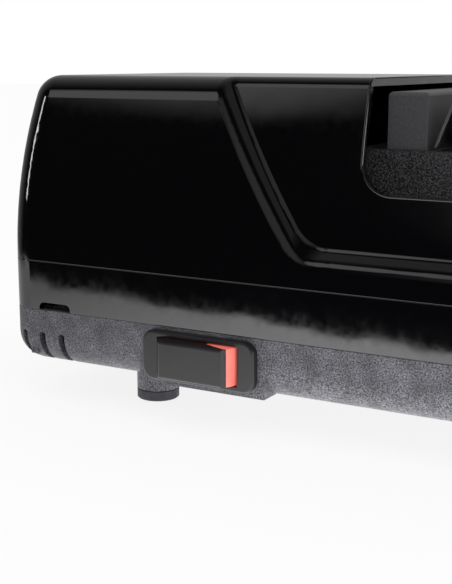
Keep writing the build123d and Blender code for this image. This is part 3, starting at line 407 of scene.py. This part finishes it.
# Rotor end rings and bearing brackets: die-cast aluminium, the rings cast on the rotor.
# The die leaves a grey, slightly frosted skin.
cast_aluminium, tree, shader = start_finish("die_cast_aluminium", Metallic=1.0)
place = add_node(tree, "ShaderNodeTexCoord")
frost_mm = 0.9
frost = add_node(tree, "ShaderNodeTexNoise", {"Scale": 1000 / frost_mm, "Detail": 5.0},
                 {"Vector": (place, "Object")})
metal = add_node(tree, "ShaderNodeValToRGB", {}, {"Fac": (frost, "Fac")})
set_ramp(metal, 0.3, "a2a3a6", 0.7, "bfc0c3")
dull = add_node(tree, "ShaderNodeMapRange", {"To Min": 0.4, "To Max": 0.6}, {"Value": (frost, "Fac")})
skin_depth_mm = 0.1
skin = add_node(tree, "ShaderNodeBump", {"Strength": 0.4, "Distance": skin_depth_mm / 1000},
                {"Height": (frost, "Fac")})
tree.links.new(metal.outputs["Color"], shader.inputs["Base Color"])
tree.links.new(dull.outputs["Result"], shader.inputs["Roughness"])
tree.links.new(skin.outputs["Normal"], shader.inputs["Normal"])
give(cast_aluminium, "rotor_end_rings", "bracket_fan_end", "bracket_drive_end")

# Bearings: sintered bronze sleeves, two in the motor brackets and one at the far end of the guide housing.
# They are porous, and dark with the oil that they hold.
bronze, tree, shader = start_finish("sintered_bronze", Metallic=1.0, Roughness=0.4)
place = add_node(tree, "ShaderNodeTexCoord")
pore_mm = 0.4
pores = add_node(tree, "ShaderNodeTexNoise", {"Scale": 1000 / pore_mm, "Detail": 3.0},
                 {"Vector": (place, "Object")})
metal = add_node(tree, "ShaderNodeValToRGB", {}, {"Fac": (pores, "Fac")})
set_ramp(metal, 0.35, "5e4526", 0.65, "b18a52")
tree.links.new(metal.outputs["Color"], shader.inputs["Base Color"])
give(bronze, "bearing_fan_end", "bearing_drive_end", "bearing_outboard")

# Coil: enamelled copper wire, wound on the bobbin in turns that lie side by side.
# The clear coat turns the copper amber, and each turn shows as a ridge.
copper, tree, shader = start_finish("enamelled_copper_wire", Metallic=0.9, Roughness=0.3)
place = add_node(tree, "ShaderNodeTexCoord")
turned = add_node(tree, "ShaderNodeMapping", {"Rotation": (0.0, 0.0, math.pi / 2)},
                  {"Vector": (place, "Object")})
wire_mm = 0.6
turn_scale = 2 * math.pi * 1000 / wire_mm / wave_rate
turns = add_node(tree, "ShaderNodeTexWave", {"Scale": turn_scale, "Distortion": 0.0},
                 {"Vector": (turned, "Vector")})
metal = add_node(tree, "ShaderNodeValToRGB", {}, {"Fac": (turns, "Fac")})
set_ramp(metal, 0.1, "5a2a14", 0.8, "c8764a")
row_depth_mm = 0.2
rows = add_node(tree, "ShaderNodeBump", {"Strength": 0.8, "Distance": row_depth_mm / 1000},
                {"Height": (turns, "Fac")})
tree.links.new(metal.outputs["Color"], shader.inputs["Base Color"])
tree.links.new(rows.outputs["Normal"], shader.inputs["Normal"])
give(copper, "coil_winding")

# Switch terminals: stamped brass tabs, set in the back of the switch body.
# Their tin plate is dull and a little smeared.
tinned_brass, tree, shader = start_finish("tinned_brass", Metallic=1.0)
place = add_node(tree, "ShaderNodeTexCoord")
smear_mm = 1.2
smear = add_node(tree, "ShaderNodeTexNoise", {"Scale": 1000 / smear_mm, "Detail": 3.0},
                 {"Vector": (place, "Object")})
metal = add_node(tree, "ShaderNodeValToRGB", {}, {"Fac": (smear, "Fac")})
set_ramp(metal, 0.3, "b3ac98", 0.7, "cfccc2")
dull = add_node(tree, "ShaderNodeMapRange", {"To Min": 0.3, "To Max": 0.5}, {"Value": (smear, "Fac")})
tree.links.new(metal.outputs["Color"], shader.inputs["Base Color"])
tree.links.new(dull.outputs["Result"], shader.inputs["Roughness"])
give(tinned_brass, "switch_terminals")

# Coil bobbin and cooling fan: natural nylon, injection moulded. The fan is on the free end of the shaft.
# It is off-white and waxy, with light flow marks.
nylon, tree, shader = start_finish("natural_nylon", IOR=1.53, Roughness=0.45)
place = add_node(tree, "ShaderNodeTexCoord")
flow_mm = 9
flow = add_node(tree, "ShaderNodeTexNoise", {"Scale": 1000 / flow_mm, "Detail": 3.0},
                {"Vector": (place, "Object")})
cream = add_node(tree, "ShaderNodeValToRGB", {}, {"Fac": (flow, "Fac")})
set_ramp(cream, 0.3, "cfc8b4", 0.7, "ded8c8")
tree.links.new(cream.outputs["Color"], shader.inputs["Base Color"])
give(nylon, "coil_bobbin", "cooling_fan")

# Filings magnet: a sintered ferrite bar on the base's floor, beside the clean-out door, that holds filings.
# It is charcoal grey and slightly chalky, with tiny pits.
ferrite, tree, shader = start_finish("sintered_ferrite", IOR=1.9, Roughness=0.7)
place = add_node(tree, "ShaderNodeTexCoord")
pit_mm = 0.8
pitted = add_node(tree, "ShaderNodeTexNoise", {"Scale": 1000 / pit_mm, "Detail": 5.0},
                  {"Vector": (place, "Object")})
grey = add_node(tree, "ShaderNodeValToRGB", {}, {"Fac": (pitted, "Fac")})
set_ramp(grey, 0.3, "2a2a2c", 0.7, "3e3e41")
tree.links.new(grey.outputs["Color"], shader.inputs["Base Color"])
give(ferrite, "filings_magnet")

# Lead wires: stranded copper in soft white PVC, run inside the base between gland, switch and coil.
# The white is a little grubby from handling.
insulation, tree, shader = start_finish("soft_white_pvc", IOR=1.53, Roughness=0.4)
place = add_node(tree, "ShaderNodeTexCoord")
grub_mm = 7
grub = add_node(tree, "ShaderNodeTexNoise", {"Scale": 1000 / grub_mm, "Detail": 4.0},
                {"Vector": (place, "Object")})
white = add_node(tree, "ShaderNodeValToRGB", {}, {"Fac": (grub, "Fac")})
set_ramp(white, 0.3, "c4c2bc", 0.7, "dcdad5")
tree.links.new(white.outputs["Color"], shader.inputs["Base Color"])
give(insulation, "lead_wires")

# Floor: a white table top that fades into the white round it, keeps a soft shadow and has no under face.
# In what gloss mirrors, the table ends in front and to the left, is brightest towards the right in front,
# and is dimmer behind the part and beyond its right end.
floor_side = 8.0
bpy.ops.mesh.primitive_plane_add(size=floor_side, location=(0.0, 0.0, 0.0))
floor = bpy.context.object
floor.name = "floor"
white_table, tree, shader = start_finish("white_table_top", Base_Color=linear("f7f7f7"), Roughness=0.9)
shader.inputs["Specular IOR Level"].default_value = 0.0
place = add_node(tree, "ShaderNodeTexCoord")
table_turn = math.radians(-9.4)
turned = add_node(tree, "ShaderNodeMapping", {"Rotation": (0.0, 0.0, table_turn)},
                  {"Vector": (place, "Object")})
split = add_node(tree, "ShaderNodeSeparateXYZ", {}, {"Vector": (turned, "Vector")})
clutter_mm = 35
clutter = add_node(tree, "ShaderNodeTexNoise", {"Scale": 1000 / clutter_mm, "Detail": 3.0},
                   {"Vector": (place, "Object")})
clutter_reach = 0.03
ragged = add_node(tree, "ShaderNodeMath", {"operation": "MULTIPLY_ADD"})
tree.links.new(clutter.outputs["Fac"], ragged.inputs[0])
ragged.inputs[1].default_value = clutter_reach
tree.links.new(split.outputs["Y"], ragged.inputs[2])
front_edge = add_node(tree, "ShaderNodeMapRange", {"From Min": -0.162, "From Max": -0.156},
                      {"Value": (ragged, "Value")})
left_edge = add_node(tree, "ShaderNodeMapRange", {"From Min": -0.44, "From Max": -0.36},
                     {"Value": (split, "X")})
on_table = add_node(tree, "ShaderNodeMath", {"operation": "MULTIPLY"})
tree.links.new(front_edge.outputs["Result"], on_table.inputs[0])
tree.links.new(left_edge.outputs["Result"], on_table.inputs[1])
ray = add_node(tree, "ShaderNodeLightPath")
across = add_node(tree, "ShaderNodeMapRange",
                  {"From Min": -0.26, "From Max": -0.08, "To Min": 0.75, "To Max": 1.94},
                  {"Value": (split, "X")})
near = add_node(tree, "ShaderNodeMapRange",
                {"From Min": -0.18, "From Max": -0.08, "To Min": 1.05, "To Max": 0.85},
                {"Value": (split, "Y")})
lit = add_node(tree, "ShaderNodeMath", {"operation": "MULTIPLY"})
tree.links.new(across.outputs["Result"], lit.inputs[0])
tree.links.new(near.outputs["Result"], lit.inputs[1])
behind = add_node(tree, "ShaderNodeMapRange",
                  {"From Min": 0.0, "From Max": 0.07, "To Min": 1.0, "To Max": 0.45},
                  {"Value": (split, "Y")})
beside = add_node(tree, "ShaderNodeMapRange",
                  {"From Min": -0.17, "From Max": -0.14, "To Min": 1.0, "To Max": 0.0},
                  {"Value": (split, "X")})
beyond = add_node(tree, "ShaderNodeMapRange",
                  {"From Min": 0.05, "From Max": 0.12, "To Min": 1.0, "To Max": 0.45},
                  {"Value": (split, "X")})
rear = add_node(tree, "ShaderNodeMath", {"operation": "MAXIMUM"})
tree.links.new(behind.outputs["Result"], rear.inputs[0])
tree.links.new(beside.outputs["Result"], rear.inputs[1])
dimmed = add_node(tree, "ShaderNodeMath", {"operation": "MINIMUM"})
tree.links.new(rear.outputs["Value"], dimmed.inputs[0])
tree.links.new(beyond.outputs["Result"], dimmed.inputs[1])
glow = add_node(tree, "ShaderNodeMath", {"operation": "MULTIPLY"})
tree.links.new(lit.outputs["Value"], glow.inputs[0])
tree.links.new(dimmed.outputs["Value"], glow.inputs[1])
bright = add_node(tree, "ShaderNodeEmission", {}, {"Strength": (glow, "Value")})
clear = add_node(tree, "ShaderNodeBsdfTransparent")
mirrored = add_node(tree, "ShaderNodeMixShader", {}, {"Fac": (on_table, "Value")})
tree.links.new(clear.outputs["BSDF"], mirrored.inputs[1])
tree.links.new(bright.outputs["Emission"], mirrored.inputs[2])
glare = add_node(tree, "ShaderNodeEmission", {}, {"Strength": (ray, "Is Camera Ray")})
glare_share = 0.85
lifted = add_node(tree, "ShaderNodeMixShader", {"Fac": glare_share})
tree.links.new(shader.outputs["BSDF"], lifted.inputs[1])
tree.links.new(glare.outputs["Emission"], lifted.inputs[2])
bounced = add_node(tree, "ShaderNodeMapRange",
                   {"From Min": -0.13, "From Max": 0.04, "To Min": 0.2, "To Max": 1.5},
                   {"Value": (split, "X")})
close = add_node(tree, "ShaderNodeMapRange",
                 {"From Min": -0.14, "From Max": -0.07, "To Min": 0.5, "To Max": 2.0},
                 {"Value": (split, "Y")})
returned = add_node(tree, "ShaderNodeMath", {"operation": "MULTIPLY"})
tree.links.new(bounced.outputs["Result"], returned.inputs[0])
tree.links.new(close.outputs["Result"], returned.inputs[1])
bounce = add_node(tree, "ShaderNodeEmission", {}, {"Strength": (returned, "Value")})
seen = add_node(tree, "ShaderNodeMixShader", {}, {"Fac": (ray, "Is Camera Ray")})
tree.links.new(bounce.outputs["Emission"], seen.inputs[1])
tree.links.new(lifted.outputs["Shader"], seen.inputs[2])
either = add_node(tree, "ShaderNodeMixShader", {}, {"Fac": (ray, "Is Glossy Ray")})
tree.links.new(seen.outputs["Shader"], either.inputs[1])
tree.links.new(mirrored.outputs["Shader"], either.inputs[2])
side = add_node(tree, "ShaderNodeNewGeometry")
underneath = add_node(tree, "ShaderNodeMath", {"operation": "MULTIPLY"})
tree.links.new(side.outputs["Backfacing"], underneath.inputs[0])
tree.links.new(ray.outputs["Is Camera Ray"], underneath.inputs[1])
one_sided = add_node(tree, "ShaderNodeMixShader", {}, {"Fac": (underneath, "Value")})
tree.links.new(either.outputs["Shader"], one_sided.inputs[1])
tree.links.new(clear.outputs["BSDF"], one_sided.inputs[2])
tree.links.new(one_sided.outputs["Shader"], tree.nodes["Material Output"].inputs["Surface"])
floor.data.materials.append(white_table)

# Room: white to the eye and lighter overhead, with dim walls in what the gloss mirrors.
# Two soft screens stand in those walls, one low on the right front and one high on the left front.
world = bpy.data.worlds.new("studio")
bpy.context.scene.world = world
world.use_nodes = True
tree = world.node_tree
room = tree.nodes["Background"]
room.inputs["Color"].default_value = (1.0, 1.0, 1.0, 1.0)
ray = add_node(tree, "ShaderNodeLightPath")
place = add_node(tree, "ShaderNodeTexCoord")
split = add_node(tree, "ShaderNodeSeparateXYZ", {}, {"Vector": (place, "Generated")})
mirrored = add_node(tree, "ShaderNodeMapRange",
                    {"From Min": -0.35, "From Max": 0.9, "To Min": 0.012, "To Max": 0.46},
                    {"Value": (split, "Y")})
for toward, edge, full, strength in (
    ((0.22, -0.94, 0.25), 0.80, 0.94, 0.22),
    ((-0.49, -0.67, 0.56), 0.945, 0.985, 0.62),
):
    facing = add_node(tree, "ShaderNodeVectorMath", {"operation": "DOT_PRODUCT"})
    tree.links.new(place.outputs["Generated"], facing.inputs[0])
    facing.inputs[1].default_value = Vector(toward).normalized()
    screen = add_node(tree, "ShaderNodeMapRange",
                      {"interpolation_type": "SMOOTHSTEP", "From Min": edge, "From Max": full,
                       "To Max": strength},
                      {"Value": (facing, "Value")})
    both = add_node(tree, "ShaderNodeMath", {"operation": "ADD"})
    tree.links.new(mirrored.outputs[0], both.inputs[0])
    tree.links.new(screen.outputs["Result"], both.inputs[1])
    mirrored = both
overhead = add_node(tree, "ShaderNodeMapRange",
                    {"From Min": 0.0, "From Max": 1.0, "To Min": 0.42, "To Max": 1.1},
                    {"Value": (split, "Z")})
soft = add_node(tree, "ShaderNodeMix", {},
                {"Factor": (ray, "Is Glossy Ray"), "A": (overhead, "Result"), "B": (mirrored, "Value")})
seen = add_node(tree, "ShaderNodeMix", {}, {"Factor": (ray, "Is Camera Ray"), "A": (soft, "Result")})
seen.inputs["B"].default_value = 1.0
tree.links.new(seen.outputs["Result"], room.inputs["Strength"])

# Lamps: a soft key light high on the right front that gloss does not mirror, and a strip low at each side
# that only gloss shows.
aim = Vector((0.0, 0.0, 0.06))
for name, toward, distance, width, height, power, is_key in (
    ("key_light", (0.45, -0.50, 0.74), 0.8, 0.6, 0.5, 1.3, True),
    ("left_strip", (-0.84, -0.50, 0.18), 1.2, 0.11, 0.40, 0.80, False),
    ("right_strip", (0.90, -0.42, 0.12), 1.2, 0.60, 0.40, 3.6, False),
):
    direction = Vector(toward).normalized()
    bpy.ops.object.light_add(type="AREA", location=aim + direction * distance)
    lamp = bpy.context.object
    lamp.name = name
    lamp.visible_glossy = not is_key
    lamp.visible_diffuse = is_key
    lamp.data.shape = "RECTANGLE"
    lamp.data.size = width
    lamp.data.size_y = height
    lamp.data.energy = power
    lamp.rotation_mode = "QUATERNION"
    lamp.rotation_quaternion = direction.to_track_quat("Z", "Y")

# Camera: a little above the cover, in front and to the right, looking along the front.
# Its place and lens give the view of the lower left front corner.
camera_place = (0.125897, -0.345180, 0.112856)
camera_forward = Vector((-0.4869, 0.8502, -0.2001))
sensor_mm = 36.0
lens_mm = 70.03
bpy.ops.object.camera_add(location=camera_place)
camera = bpy.context.object
camera.rotation_mode = "QUATERNION"
camera.rotation_quaternion = camera_forward.to_track_quat("-Z", "Y")
camera.data.sensor_width = sensor_mm
camera.data.lens = lens_mm
bpy.context.scene.camera = camera
bpy.context.scene.view_settings.view_transform = "Standard"
